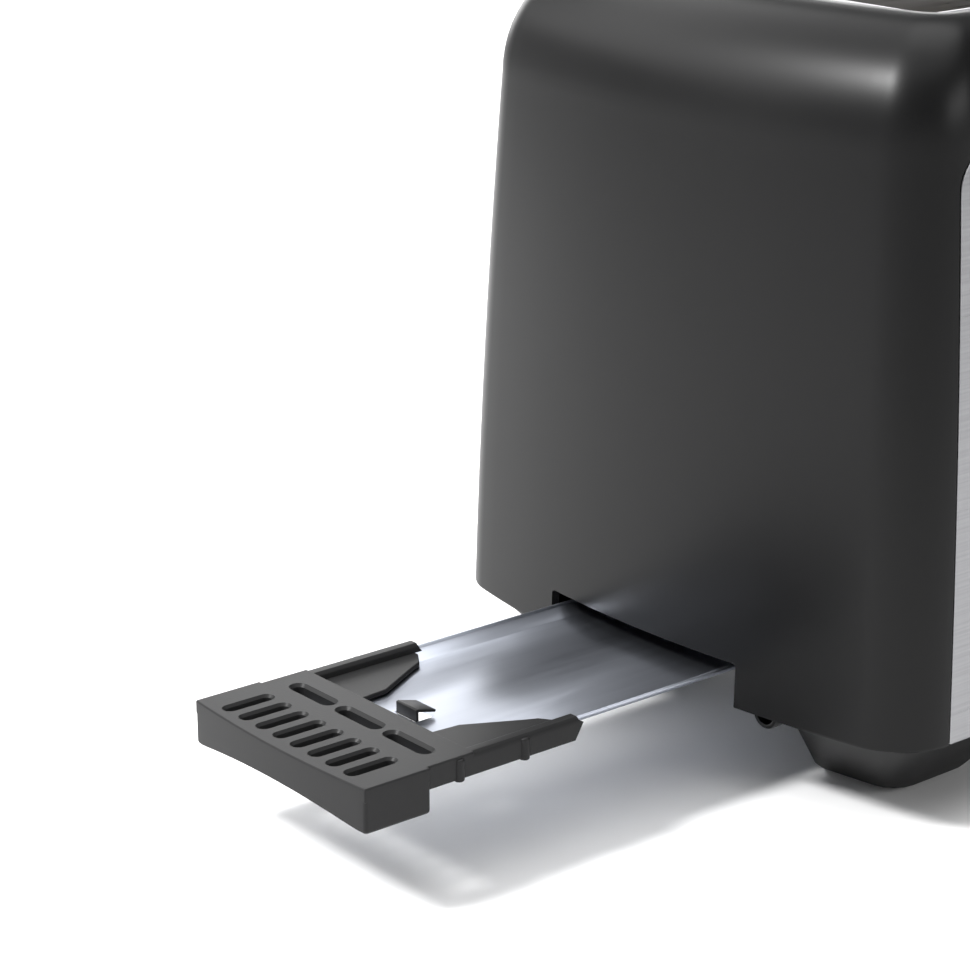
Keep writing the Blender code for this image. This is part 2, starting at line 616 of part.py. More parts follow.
def crumb_tray():
    """Steel pan and its moulded handle, drawn out of the tray end."""
    front = -TRAY_OUT
    pan_x = front + 22.0
    bm = bmesh.new()
    bmesh.ops.create_cube(bm, size=1.0)
    size = (PAN_LENGTH * MM, 2 * TRAY_HALF * MM, (PAN_WALL_TOP - PAN_FLOOR) * MM)
    bmesh.ops.scale(bm, vec=size, verts=bm.verts)
    bmesh.ops.translate(bm, vec=at(pan_x + PAN_LENGTH / 2, 0, (PAN_WALL_TOP + PAN_FLOOR) / 2), verts=bm.verts)
    drop = [f for f in bm.faces if f.normal.z > 0.5 or f.normal.x < -0.5]
    bmesh.ops.delete(bm, geom=drop, context="FACES_ONLY")
    pan = mesh_object("crumb_tray_pan", bm)
    sheet = pan.modifiers.new("sheet", "SOLIDIFY")
    sheet.thickness = 0.6 * MM
    sheet.offset = -1.0
    keep(pan, BRIGHT)

    block_back = front + 21.0
    bar_back = front + 34.8
    floor_top = PAN_FLOOR + 0.6 + GAP
    steps = 12
    bowed = []
    for step in range(steps + 1):
        y = HANDLE_HALF * (1 - 2 * step / steps)
        bowed.append((front + end_bow(y), y))
    outline = bowed + [(block_back, -HANDLE_HALF), (block_back, HANDLE_HALF)]
    handle = extruded("crumb_tray_handle", [(x, y, HANDLE_BOTTOM) for x, y in outline],
                      (0, 0, HANDLE_TOP - HANDLE_BOTTOM))

    arm_end = front + 69.0
    plate = ((block_back - 1, 34.5), (block_back - 1, -34.5), (arm_end, -34.5), (arm_end, -28.8),
             (front + 63.0, -23.0), (front + 60.0, -22.0), (front + 45.5, -14.3), (bar_back, -14.3),
             (bar_back, 14.3), (front + 45.5, 14.3), (front + 60.0, 22.0), (front + 63.0, 23.0),
             (arm_end, 28.8), (arm_end, 34.5))
    join(handle, extruded("handle_arms", [(x, y, floor_top) for x, y in plate],
                          (0, 0, HANDLE_TOP - 0.001 - floor_top)))
    for side in (-1, 1):
        skirt = sorted((side * (TRAY_HALF + 0.7), side * (HANDLE_HALF - 0.001)))
        join(handle, box("handle_skirt_%d" % (side + 1), (block_back - 1, skirt[0], 26.6),
                         (arm_end - 0.002, skirt[1], HANDLE_TOP - 0.002)))
    for side in (-1, 1):
        groove = sorted((side * (TRAY_HALF - 0.6 - GAP), side * (TRAY_HALF + GAP)))
        cut(handle, box("wall_groove_%d" % (side + 1), (block_back + 0.7, groove[0], 25.0),
                        (arm_end + 5, groove[1], PAN_WALL_TOP + GAP)))
    cut(handle, box("grip_hollow", (front + 4.5, -HANDLE_HALF + 2.2, 10.0),
                    (block_back - 2.0, HANDLE_HALF - 2.2, 30.2)))
    cut(handle, round_bar("grip_arch", 200.0, (front - 5, 0, HANDLE_BOTTOM + 3.0 - 200.0),
                          (block_back - 1, 0, HANDLE_BOTTOM + 3.0 - 200.0), 160))
    for number in range(8):
        y = 7.08 * (number - 3.5)
        cut(handle, obround("grip_slot_%d" % number, (front + 11.2, y, 31), 13.6, 3.2, 12.0))
    for number in range(3):
        y = 19.2 * (number - 1)
        cut(handle, obround("bar_slot_%d" % number, (front + 26.0, y, 30), 15.6, 3.4, 12.0, "Y"))
    keep(handle, CHARCOAL)


housing()
underside()
chassis()
bread_guides()
carriage()
controls()
crumb_tray()
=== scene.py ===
import json
import math
import bpy
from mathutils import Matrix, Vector


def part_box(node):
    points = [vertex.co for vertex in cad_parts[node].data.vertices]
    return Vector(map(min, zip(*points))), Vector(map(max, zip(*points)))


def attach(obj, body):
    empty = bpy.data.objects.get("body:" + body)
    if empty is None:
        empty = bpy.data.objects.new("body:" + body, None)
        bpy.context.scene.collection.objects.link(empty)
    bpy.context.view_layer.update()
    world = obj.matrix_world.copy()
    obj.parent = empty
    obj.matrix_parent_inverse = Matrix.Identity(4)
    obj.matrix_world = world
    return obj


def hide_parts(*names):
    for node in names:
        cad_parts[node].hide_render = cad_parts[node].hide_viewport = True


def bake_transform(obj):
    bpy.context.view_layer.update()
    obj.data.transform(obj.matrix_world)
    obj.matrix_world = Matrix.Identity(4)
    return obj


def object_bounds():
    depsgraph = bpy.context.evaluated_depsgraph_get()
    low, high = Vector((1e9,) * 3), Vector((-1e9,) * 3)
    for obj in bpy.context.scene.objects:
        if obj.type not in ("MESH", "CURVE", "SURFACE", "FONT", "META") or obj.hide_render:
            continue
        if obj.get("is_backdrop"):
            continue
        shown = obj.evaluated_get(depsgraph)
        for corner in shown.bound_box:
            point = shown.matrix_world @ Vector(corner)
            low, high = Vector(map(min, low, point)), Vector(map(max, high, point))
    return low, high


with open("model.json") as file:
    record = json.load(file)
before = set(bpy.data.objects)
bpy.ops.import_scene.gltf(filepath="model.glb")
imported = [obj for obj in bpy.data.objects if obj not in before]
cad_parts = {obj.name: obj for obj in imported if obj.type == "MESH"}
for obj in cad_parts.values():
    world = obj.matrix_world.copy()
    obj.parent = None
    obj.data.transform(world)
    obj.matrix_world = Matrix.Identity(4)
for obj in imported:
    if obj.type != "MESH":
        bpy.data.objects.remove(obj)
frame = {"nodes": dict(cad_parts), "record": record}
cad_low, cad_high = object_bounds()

# ---------------------------------------------------------------------------
# Studio: a pale sweep of floor, soft lights and a long lens that looks along
# the body from its crumb tray end.
# ---------------------------------------------------------------------------
MM = 0.001
TRAY_OUT = 116.0  # how far the tray is drawn out
tray_end_x = cad_low[0] + TRAY_OUT * MM


def at(x, y, z):
    """A point measured in millimetres from the tray end face, in metres."""
    return Vector((tray_end_x + x * MM, y * MM, z * MM))


def place_camera():
    """The one camera, level side to side."""
    lens = bpy.data.cameras.new("camera")
    lens.lens = 104.7
    lens.sensor_width = 36.0
    lens.clip_start = 0.01
    camera = bpy.data.objects.new("camera", lens)
    bpy.context.scene.collection.objects.link(camera)
    camera.location = at(-466.5, -506.3, 299.6)
    forward = math.radians(50.59)
    down = math.radians(18.25)
    look = Vector((math.cos(forward) * math.cos(down),
                   math.sin(forward) * math.cos(down),
                   -math.sin(down)))
    camera.rotation_euler = look.to_track_quat("-Z", "Y").to_euler()
    bpy.context.scene.camera = camera


place_camera()
bpy.context.scene.view_settings.view_transform = "Standard"
bpy.context.scene.view_settings.look = "None"

world = bpy.data.worlds.new("studio")
bpy.context.scene.world = world
world.use_nodes = True
sky = world.node_tree
direction = sky.nodes.new("ShaderNodeTexCoord")
upwards = sky.nodes.new("ShaderNodeSeparateXYZ")
sky.links.new(direction.outputs["Generated"], upwards.inputs["Vector"])
fall = sky.nodes.new("ShaderNodeMapRange")
fall.inputs["From Min"].default_value = 0.04
fall.inputs["From Max"].default_value = 0.34
fall.inputs["To Min"].default_value = 0.85
fall.inputs["To Max"].default_value = 0.18
sky.links.new(upwards.outputs["Z"], fall.inputs["Value"])
sky.links.new(fall.outputs["Result"], sky.nodes["Background"].inputs["Strength"])
sky.nodes["Background"].inputs["Color"].default_value = (1.0, 1.0, 1.0, 1.0)


def area_light(name, where, aim, size, power):
    """A soft box that lights the part and stays out of the camera's sight."""
    lamp = bpy.data.lights.new(name, "AREA")
    lamp.shape = "RECTANGLE"
    lamp.size = size[0]
    lamp.size_y = size[1]
    lamp.energy = power
    obj = bpy.data.objects.new(name, lamp)
    bpy.context.scene.collection.objects.link(obj)
    obj.location = where
    obj.rotation_euler = (Vector(aim) - Vector(where)).to_track_quat("-Z", "Y").to_euler()
    obj.visible_camera = False


overhead = bpy.data.lights.new("overhead_glow", "SUN")
overhead.energy = 1.5
overhead.angle = 1.3
bpy.context.scene.collection.objects.link(bpy.data.objects.new("overhead_glow", overhead))
area_light("top_softbox", (0.25, 0.1, 1.3), (0.05, 0.0, 0.1), (0.9, 0.9), 4.0)
area_light("band_softbox", (-0.78, 0.98, 0.8), (-0.06, 0.0, 0.17), (1.1, 0.5), 5.0)
area_light("corner_softbox", (-0.98, 0.34, 1.08), (-0.06, -0.06, 0.17), (0.24, 0.24), 24.0)
area_light("far_softbox", (0.75, 1.3, 0.42), (-0.1, 0.0, 0.03), (1.5, 0.55), 9.0)
area_light("rim_softbox", (0.0, 1.15, 1.2), (-0.05, 0.0, 0.19), (1.2, 0.4), 5.0)
area_light("side_softbox", (0.35, -1.5, 0.75), (0.0, 0.0, 0.1), (1.0, 0.5), 6.0)


def shade(name, colour, roughness, metallic=0.0, specular=0.5):
    """A new node material; the uniform values sit on the shader's own sockets."""
    made = bpy.data.materials.new(name)
    made.use_nodes = True
    shader = made.node_tree.nodes["Principled BSDF"]
    shader.inputs["Base Color"].default_value = (*colour, 1.0)
    shader.inputs["Roughness"].default_value = roughness
    shader.inputs["Metallic"].default_value = metallic
    shader.inputs["Specular IOR Level"].default_value = specular
    return made


bpy.ops.mesh.primitive_plane_add(size=9.0, location=(0.0, 0.0, -0.0005))
floor = bpy.context.active_object
floor.name = "floor"
floor.data.materials.append(shade("floor_paint", (0.93, 0.93, 0.93), 0.7))
floor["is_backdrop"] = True


# ---------------------------------------------------------------------------
# Moulded black shell: one injection moulding in satin polypropylene, its walls
# lean in and its ends are bowed; the bread rim, tray notch and panel recesses
# are moulded in.
# ---------------------------------------------------------------------------
def texture_nodes(made, scale, detail=3.0, stretch=(1.0, 1.0, 1.0)):
    """Object coordinates through a Mapping into a noise; returns the noise node."""
    nodes = made.node_tree.nodes
    links = made.node_tree.links
    where = nodes.new("ShaderNodeTexCoord")
    mapping = nodes.new("ShaderNodeMapping")
    mapping.inputs["Scale"].default_value = stretch
    noise = nodes.new("ShaderNodeTexNoise")
    noise.inputs["Scale"].default_value = scale
    noise.inputs["Detail"].default_value = detail
    links.new(where.outputs["Object"], mapping.inputs["Vector"])
    links.new(mapping.outputs["Vector"], noise.inputs["Vector"])
    return noise


def spread(made, noise, socket, low, high):
    """Map a noise to a number between low and high on one socket of the shader."""
    nodes = made.node_tree.nodes
    ramp = nodes.new("ShaderNodeMapRange")
    ramp.inputs["From Min"].default_value = 0.3
    ramp.inputs["From Max"].default_value = 0.7
    ramp.inputs["To Min"].default_value = low
    ramp.inputs["To Max"].default_value = high
    made.node_tree.links.new(noise.outputs["Fac"], ramp.inputs["Value"])
    made.node_tree.links.new(ramp.outputs["Result"], nodes["Principled BSDF"].inputs[socket])


def tint(made, noise, dark, light):
    """Vary the base colour between two shades."""
    nodes = made.node_tree.nodes
    ramp = nodes.new("ShaderNodeValToRGB")
    ramp.color_ramp.elements[0].position = 0.3
    ramp.color_ramp.elements[0].color = (*dark, 1.0)
    ramp.color_ramp.elements[1].position = 0.7
    ramp.color_ramp.elements[1].color = (*light, 1.0)
    made.node_tree.links.new(noise.outputs["Fac"], ramp.inputs["Fac"])
    made.node_tree.links.new(ramp.outputs["Color"], nodes["Principled BSDF"].inputs["Base Color"])


def relief(made, noise, strength, distance):
    """Bump from a noise."""
    nodes = made.node_tree.nodes
    bump = nodes.new("ShaderNodeBump")
    bump.inputs["Strength"].default_value = strength
    bump.inputs["Distance"].default_value = distance
    made.node_tree.links.new(noise.outputs["Fac"], bump.inputs["Height"])
    made.node_tree.links.new(bump.outputs["Normal"], nodes["Principled BSDF"].inputs["Normal"])


def moulded_plastic(name, dark, light, rough, grain, specular=0.35):
    """Plastic with a fine spark-eroded grain, and a slow change of sheen over the surface."""
    made = shade(name, light, rough, 0.0, specular)
    patches = texture_nodes(made, 9.0, 4.0)
    spread(made, patches, "Roughness", rough - 0.05, rough + 0.06)
    tint(made, patches, dark, light)
    relief(made, texture_nodes(made, 2600.0, 2.0), grain, 0.00006)
    return made


black_plastic = moulded_plastic("satin_black_moulding", (0.003, 0.003, 0.0032),
                                (0.005, 0.005, 0.0052), 0.34, 0.1, 0.2)

LEAN_SLOPE = 0.022
LEAN_CURVE = 0.00013
END_BOW = 0.0015
SHELL_LOW = 22.0
ROLL_START = 167.5
ROLL_HEIGHT = 30.0
ROLL_SIDE = 18.4
ROLL_END = 25.0
CORNER = 14.0
CORNER_TIGHTER = 8.0  # how much smaller the corner is at the rim
HALF_WIDTH = 86.5
HALF_LENGTH = 136.0
WALL = 2.6
ARC_STEPS = 12
END_STEPS = 24
SIDE_STEPS = 16


def lean(z):
    """How far the walls lean in at a height, in millimetres."""
    rise = max(min(z, ROLL_START) - SHELL_LOW, 0.0)
    return LEAN_SLOPE * rise + LEAN_CURVE * rise * rise


def deselect():
    """Leave edit mode and select nothing."""
    if bpy.context.object and bpy.context.object.mode != "OBJECT":
        bpy.ops.object.mode_set(mode="OBJECT")
    bpy.ops.object.select_all(action="DESELECT")


def activate(obj):
    """Select one object alone and make it the active one."""
    deselect()
    obj.select_set(True)
    bpy.context.view_layer.objects.active = obj


def apply_all(obj):
    """Apply the modifiers and bring the object's place into its mesh."""
    activate(obj)
    for step in [m.name for m in obj.modifiers]:
        bpy.ops.object.modifier_apply(modifier=step)
    bpy.ops.object.transform_apply(location=True, rotation=True, scale=True)


def finish_piece(obj, look, body, angle=40.0, stands_for=(), flats=False):
    """Give a piece its material, shading, body and the nodes that it stands for.

    flats weights the normals by face, so that large flat faces stay flat beside their bevels.
    """
    apply_all(obj)
    obj.data.materials.clear()
    obj.data.materials.append(look)
    activate(obj)
    bpy.ops.object.shade_smooth_by_angle(angle=math.radians(angle))
    if flats:
        step = obj.modifiers.new("flat_faces", "WEIGHTED_NORMAL")
        step.keep_sharp = True
        bpy.ops.object.modifier_apply(modifier=step.name)
    if body:
        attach(obj, body)
    if stands_for:
        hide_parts(*stands_for)
    return obj


def level_shape(z):
    """Half length, half width and corner radius of the wall at one height."""
    if z <= ROLL_START:
        return HALF_LENGTH - lean(z), HALF_WIDTH - lean(z), CORNER
    turn = math.asin(min((z - ROLL_START) / ROLL_HEIGHT, 1.0))
    back = 1.0 - math.cos(turn)
    inward = lean(ROLL_START)
    half_length = HALF_LENGTH - inward - ROLL_END * back
    half_width = HALF_WIDTH - inward - ROLL_SIDE * back
    return half_length, half_width, CORNER - CORNER_TIGHTER * back


def wall_outline(z):
    """The plan of the body at one height: round corners, straight sides, bowed ends."""
    half_length, half_width, corner = level_shape(z)
    points = []
    for quarter, (sx, sy) in enumerate(((1, 1), (-1, 1), (-1, -1), (1, -1))):
        for step in range(ARC_STEPS + 1):
            turn = math.radians(90.0 * (quarter + step / ARC_STEPS))
            points.append((sx * (half_length - corner) + corner * math.cos(turn),
                           sy * (half_width - corner) + corner * math.sin(turn)))
        far = half_width - corner
        if quarter == 1:
            points += [(-half_length, far * (1 - 2 * s / END_STEPS)) for s in range(1, END_STEPS)]
        if quarter == 3:
            points += [(half_length, far * (2 * s / END_STEPS - 1)) for s in range(1, END_STEPS)]
        if quarter in (0, 2):
            long = half_length - corner
            sign = 1 if quarter == 0 else -1
            points += [(sign * long * (1 - 2 * s / SIDE_STEPS), sign * half_width)
                       for s in range(1, SIDE_STEPS)]
    reach = half_length - corner
    plan = []
    for x, y in points:
        bow = END_BOW * y * y * max(min(x / reach, 1.0), -1.0)
        plan.append(at(HALF_LENGTH + x - bow, y, z))
    return plan


def drawn(name, points, edges=(), faces=()):
    """A new active object drawn from its points, edges and faces."""
    mesh = bpy.data.meshes.new(name)
    mesh.from_pydata(points, list(edges), list(faces))
    obj = bpy.data.objects.new(name, mesh)
    bpy.context.scene.collection.objects.link(obj)
    activate(obj)
    return obj


def open_mesh():
    """Edit the active mesh, all of it selected."""
    bpy.ops.object.mode_set(mode="EDIT")
    bpy.ops.mesh.select_all(action="SELECT")


def close_mesh():
    """Turn all faces outwards and leave edit mode."""
    bpy.ops.mesh.select_all(action="SELECT")
    bpy.ops.mesh.normals_make_consistent(inside=False)
    bpy.ops.object.mode_set(mode="OBJECT")


def loft(name, rings):
    """A wall bridged through rings of points that all have the same count."""
    count = len(rings[0])
    edges = []
    for ring in range(len(rings)):
        edges += [(ring * count + i, ring * count + (i + 1) % count) for i in range(count)]
    obj = drawn(name, [point for ring in rings for point in ring], edges)
    open_mesh()
    bpy.ops.mesh.bridge_edge_loops()
    close_mesh()
    return obj


def add_solidify(obj, thickness):
    """A wall of this thickness in millimetres, inwards from the drawn face."""
    step = obj.modifiers.new("wall", "SOLIDIFY")
    step.thickness = thickness * MM
    step.offset = -1.0


def add_bevel(obj, width, segments=3, angle=35.0):
    """Rounded edges of this width in millimetres, where faces meet at more than the angle."""
    step = obj.modifiers.new("edges", "BEVEL")
    step.width = width * MM
    step.segments = segments
    step.limit_method = "ANGLE"
    step.angle_limit = math.radians(angle)
    step.harden_normals = False


def combine(obj, others, operation):
    """Apply a Boolean with each of the others in turn, then remove them."""
    for other in others:
        activate(obj)
        step = obj.modifiers.new("combine", "BOOLEAN")
        step.operation = operation
        step.solver = "MANIFOLD"
        step.object = other
        bpy.ops.object.modifier_apply(modifier=step.name)
        bpy.data.objects.remove(other, do_unlink=True)


def subtract(obj, tools):
    """Cut a piece with its tools."""
    combine(obj, tools, "DIFFERENCE")


def block(name, low, high, edge=0.0, segments=3):
    """A cube primitive between two corners in millimetres, with rounded edges."""
    deselect()
    middle = at(*[(a + b) / 2 for a, b in zip(low, high)])
    bpy.ops.mesh.primitive_cube_add(size=1.0, location=middle)
    obj = bpy.context.active_object
    obj.name = name
    obj.scale = [(b - a) * MM for a, b in zip(low, high)]
    bpy.ops.object.transform_apply(location=False, rotation=False, scale=True)
    if edge:
        add_bevel(obj, edge, segments, 30.0)
    apply_all(obj)
    return obj


def rod(name, radius, start, end, sides=48):
    """A cylinder primitive between two points in millimetres."""
    deselect()
    base = at(*start)
    tip = at(*end)
    length = (tip - base).length
    bpy.ops.mesh.primitive_cylinder_add(vertices=sides, radius=radius * MM, depth=length,
                                        location=(base + tip) / 2)
    obj = bpy.context.active_object
    obj.name = name
    obj.rotation_euler = (tip - base).to_track_quat("Z", "Y").to_euler()
    apply_all(obj)
    return obj


PANEL_LOW = (26.0, 22.3)
PANEL_HIGH = (246.0, 168.5)
PANEL_CORNER = 9.0
BEZEL_LOW = (-23.0, 28.0)
BEZEL_HIGH = (23.0, 166.0)
BEZEL_CORNER = 8.0
PLATE_CORNER_STEPS = 8
PLATE_ROWS = 24
PANEL_GAP = 0.4
BEZEL_GAP = 0.3
RECESS_PROUD = 1.0  # a recess cutter stands this far outside the wall
PANEL_RECESS = 2.2
BEZEL_RECESS = 1.9
BEZEL_ACROSS = 6
KNOB_Z = 46.0
BUTTON_Z = 68.0
BUTTON_Y = {"cancel": -14.0, "reheat": 0.0, "defrost": 14.0}
CUT_FROM = 255.0
CUT_TO = 285.0


def wall_plate(name, side, low, high, corner, lift, thickness, edge=0.0, across=1, foot=None):
    """A plate bent to the wall: low and high are (along, height) corners and lift is outwards."""
    foot = corner if foot is None else foot
    outline = []
    for cx, cz, start, radius in ((high[0] - corner, high[1] - corner, 0, corner),
                                  (low[0] + corner, high[1] - corner, 90, corner),
                                  (low[0] + foot, low[1] + foot, 180, foot),
                                  (high[0] - foot, low[1] + foot, 270, foot)):
        for step in range(PLATE_CORNER_STEPS + 1):
            turn = math.radians(start + 90.0 / PLATE_CORNER_STEPS * step)
            outline.append((cx + radius * math.cos(turn), cz + radius * math.sin(turn)))
    flat = [(u * MM, 0.0, z * MM) for u, z in outline]
    obj = drawn(name, flat, (), [list(range(len(flat)))])
    open_mesh()
    for step in range(1, PLATE_ROWS):
        bpy.ops.mesh.select_all(action="SELECT")
        z = low[1] + (high[1] - low[1]) * step / PLATE_ROWS
        bpy.ops.mesh.bisect(plane_co=(0.0, 0.0, z * MM), plane_no=(0.0, 0.0, 1.0))
    for step in range(1, across):
        bpy.ops.mesh.select_all(action="SELECT")
        u = low[0] + (high[0] - low[0]) * step / across
        bpy.ops.mesh.bisect(plane_co=(u * MM, 0.0, 0.0), plane_no=(1.0, 0.0, 0.0))
    bpy.ops.object.mode_set(mode="OBJECT")
    mesh = obj.data
    for vert in mesh.vertices:
        u = vert.co.x / MM
        z = vert.co.z / MM
        if side == "control":
            vert.co = at(2 * HALF_LENGTH - lean(z) - END_BOW * u * u + lift, u, z)
        else:
            facing = -1.0 if side == "front" else 1.0
            vert.co = at(u, facing * (HALF_WIDTH - lean(z) + lift), z)
    outward = {"control": (1, 0, 0), "front": (0, -1, 0), "back": (0, 1, 0)}[side]
    mesh.update()
    if mesh.polygons[0].normal.dot(Vector(outward)) < 0:
        mesh.flip_normals()
    add_solidify(obj, thickness)
    if edge:
        add_bevel(obj, edge, 2, 60.0)
    apply_all(obj)
    return obj


def control_tools(prefix):
    """Cutters for the lever slot, the knob's shaft and the three buttons."""
    tools = [block(prefix + "_slot", (CUT_FROM, -2.6, 77.0), (CUT_TO, 2.6, 163.0), 1.2, 3)]
    tools.append(rod(prefix + "_shaft", 4.0, (CUT_FROM, 0, KNOB_Z), (CUT_TO, 0, KNOB_Z)))
    for button, y in BUTTON_Y.items():
        tools.append(rod(prefix + "_" + button, 4.4, (CUT_FROM, y, BUTTON_Z), (CUT_TO, y, BUTTON_Z)))
    return tools


rim_turns = 14
heights = [SHELL_LOW, SHELL_LOW + 0.8] + [30.0 + 12.5 * step for step in range(11)] + [162.0]
for step in range(rim_turns + 1):
    heights.append(ROLL_START + ROLL_HEIGHT * math.sin(math.radians(90.0 * step / rim_turns)))
shell = loft("shell_moulding", [wall_outline(z) for z in heights])
add_solidify(shell, WALL)
add_bevel(shell, 0.5, 2, 60.0)
apply_all(shell)
recesses = []
for side in ("front", "back"):
    recesses.append(wall_plate("recess_" + side, side,
                               (PANEL_LOW[0] - PANEL_GAP, PANEL_LOW[1] - 3.0),
                               (PANEL_HIGH[0] + PANEL_GAP, PANEL_HIGH[1] + PANEL_GAP),
                               PANEL_CORNER + PANEL_GAP, RECESS_PROUD, PANEL_RECESS, foot=0.5))
recesses.append(wall_plate("recess_control", "control",
                           (BEZEL_LOW[0] - BEZEL_GAP, BEZEL_LOW[1] - BEZEL_GAP),
                           (BEZEL_HIGH[0] + BEZEL_GAP, BEZEL_HIGH[1] + BEZEL_GAP),
                           BEZEL_CORNER + BEZEL_GAP, RECESS_PROUD, BEZEL_RECESS, 0.0, BEZEL_ACROSS))
recesses.append(block("notch", (-10, -35.4, 5.0), (30, 35.4, 33.8), 1.0, 3))
subtract(shell, recesses + control_tools("shell"))
finish_piece(shell, black_plastic, "housing", 32.0, ("housing_shell",))


# ---------------------------------------------------------------------------
# Side panels and control bezel: thin stainless sheet, brushed along its length,
# its edges broken, let into the shell's recesses.
# ---------------------------------------------------------------------------
def brushed_steel(name, colour, rough, stretch, scale=60.0):
    """Steel with long fine brush lines."""
    made = shade(name, colour, rough, 1.0)
    lines = texture_nodes(made, scale, 6.0, stretch)
    spread(made, lines, "Roughness", rough - 0.07, rough + 0.1)
    dark = [c * 0.86 for c in colour]
    tint(made, lines, dark, [min(c * 1.08, 1.0) for c in colour])
    relief(made, texture_nodes(made, scale * 2.0, 4.0, stretch), 0.12, 0.00004)
    return made


panel_steel = brushed_steel("brushed_panel_steel", (0.31, 0.31, 0.32), 0.34, (0.25, 8.0, 22.0))
bezel_steel = brushed_steel("brushed_bezel_steel", (0.37, 0.37, 0.38), 0.34, (8.0, 0.6, 22.0))
PANEL_SUNK = 0.03
PANEL_THICK = 0.9
BEZEL_PROUD = 0.6
BEZEL_THICK = 1.2
for side in ("front", "back"):
    panel = wall_plate("side_panel_" + side, side, PANEL_LOW, PANEL_HIGH, PANEL_CORNER,
                       -PANEL_SUNK, PANEL_THICK, 0.3, foot=0.8)
    finish_piece(panel, panel_steel, "housing", 40.0, ("steel_panel_" + side,))
bezel = wall_plate("control_plate", "control", BEZEL_LOW, BEZEL_HIGH, BEZEL_CORNER,
                   BEZEL_PROUD, BEZEL_THICK, 0.35, BEZEL_ACROSS)
subtract(bezel, control_tools("bezel"))
finish_piece(bezel, bezel_steel, "housing", 40.0, ("control_bezel",))


# ---------------------------------------------------------------------------
# Every other sheet and moulding: the frame's own shape with its edges broken,
# as a pressed sheet or a moulding has them, each in its own finish.
# ---------------------------------------------------------------------------
def broken_edges(node, name, look, body, width, segments=2, angle=35.0):
    """A merged copy of a frame node with rounded edges, standing for it."""
    deselect()
    source = frame["nodes"][node]
    obj = source.copy()
    obj.data = source.data.copy()
    obj.parent = None
    for key in list(obj.keys()):
        del obj[key]
    obj.name = name
    bpy.context.scene.collection.objects.link(obj)
    obj.hide_render = False
    activate(obj)
    open_mesh()
    bpy.ops.mesh.remove_doubles(threshold=0.000002)
    bpy.ops.mesh.dissolve_limited(angle_limit=math.radians(0.5))
    bpy.ops.object.mode_set(mode="OBJECT")
    if width:
        add_bevel(obj, width, segments, angle)
    return finish_piece(obj, look, body, 32.0, (node,))


bright_steel = shade("bright_rolled_steel", (0.62, 0.63, 0.65), 0.2, 1.0)
rolled = texture_nodes(bright_steel, 40.0, 5.0, (0.5, 6.0, 6.0))
spread(bright_steel, rolled, "Roughness", 0.15, 0.25)
tint(bright_steel, rolled, (0.56, 0.57, 0.59), (0.66, 0.67, 0.69))
relief(bright_steel, rolled, 0.05, 0.00003)

galvanised = shade("plated_chassis_steel", (0.46, 0.47, 0.48), 0.4, 1.0)
spangle = texture_nodes(galvanised, 120.0, 4.0)
spread(galvanised, spangle, "Roughness", 0.32, 0.5)
tint(galvanised, spangle, (0.38, 0.39, 0.4), (0.52, 0.53, 0.54))

mica = shade("mica_board", (0.55, 0.47, 0.34), 0.7)
flakes = texture_nodes(mica, 160.0, 6.0)
tint(mica, flakes, (0.42, 0.35, 0.24), (0.62, 0.54, 0.4))
relief(mica, flakes, 0.2, 0.0001)

soft_rubber = moulded_plastic("soft_rubber", (0.018, 0.018, 0.018), (0.026, 0.026, 0.026), 0.75, 0.3, 0.3)
copper = shade("copper_winding", (0.55, 0.24, 0.1), 0.35, 1.0)
wound = texture_nodes(copper, 300.0, 2.0, (0.3, 0.3, 8.0))
spread(copper, wound, "Roughness", 0.25, 0.45)
relief(copper, wound, 0.5, 0.0003)
phenolic = shade("phenolic_board", (0.33, 0.24, 0.1), 0.5)
tint(phenolic, texture_nodes(phenolic, 90.0, 4.0), (0.26, 0.18, 0.07), (0.36, 0.27, 0.12))

top_steel = brushed_steel("brushed_top_steel", (0.5, 0.5, 0.51), 0.33, (0.25, 9.0, 9.0))
broken_edges("top_plate", "bread_top_plate", top_steel, "housing", 0.35, 2, 50.0)
foot_plastic = moulded_plastic("foot_moulding", (0.004, 0.004, 0.0042),
                               (0.006, 0.006, 0.0062), 0.45, 0.15, 0.12)
for number in range(1, 5):
    broken_edges("foot_%d" % number, "moulded_foot_%d" % number, foot_plastic,
                 "housing", 0.6, 3, 30.0)
for number in range(1, 3):
    broken_edges("cord_cleat_%d" % number, "cord_hook_%d" % number, black_plastic,
                 "housing", 0.5, 2)


# ---------------------------------------------------------------------------
# Crumb tray handle: a charcoal moulding. Its hollow grip closes the notch; two
# arms clip over the pan's walls. The slots lighten it and show that the steel
# ends under the cross bar.
# ---------------------------------------------------------------------------
def extrude_profile(name, corners, travel, edge=0.0, segments=2):
    """A closed outline extruded in edit mode, with rounded edges."""
    obj = drawn(name, corners, (), [list(range(len(corners)))])
    open_mesh()
    bpy.ops.mesh.extrude_region_move(TRANSFORM_OT_translate={"value": travel})
    close_mesh()
    if edge:
        add_bevel(obj, edge, segments, 30.0)
    apply_all(obj)
    return obj


def prism(name, outline, low, high, edge=0.0):
    """A plan outline in millimetres, extruded upwards."""
    corners = [at(x, y, low) for x, y in outline]
    return extrude_profile(name, corners, (0.0, 0.0, (high - low) * MM), edge, 3)


def extrude_along_x(name, profile, start, end, edge=0.0):
    """A closed (y, z) profile drawn at one x and extruded to another."""
    corners = [at(start, y, z) for y, z in profile]
    return extrude_profile(name, corners, ((end - start) * MM, 0.0, 0.0), edge)


def extrude_along_y(name, profile, start, end, edge=0.0):
    """A closed (x, z) profile drawn at one y and extruded to another."""
    corners = [at(x, start, z) for x, z in profile]
    return extrude_profile(name, corners, (0.0, (end - start) * MM, 0.0), edge)


def add_to(obj, others):
    """Mould other solids on."""
    combine(obj, others, "UNION")


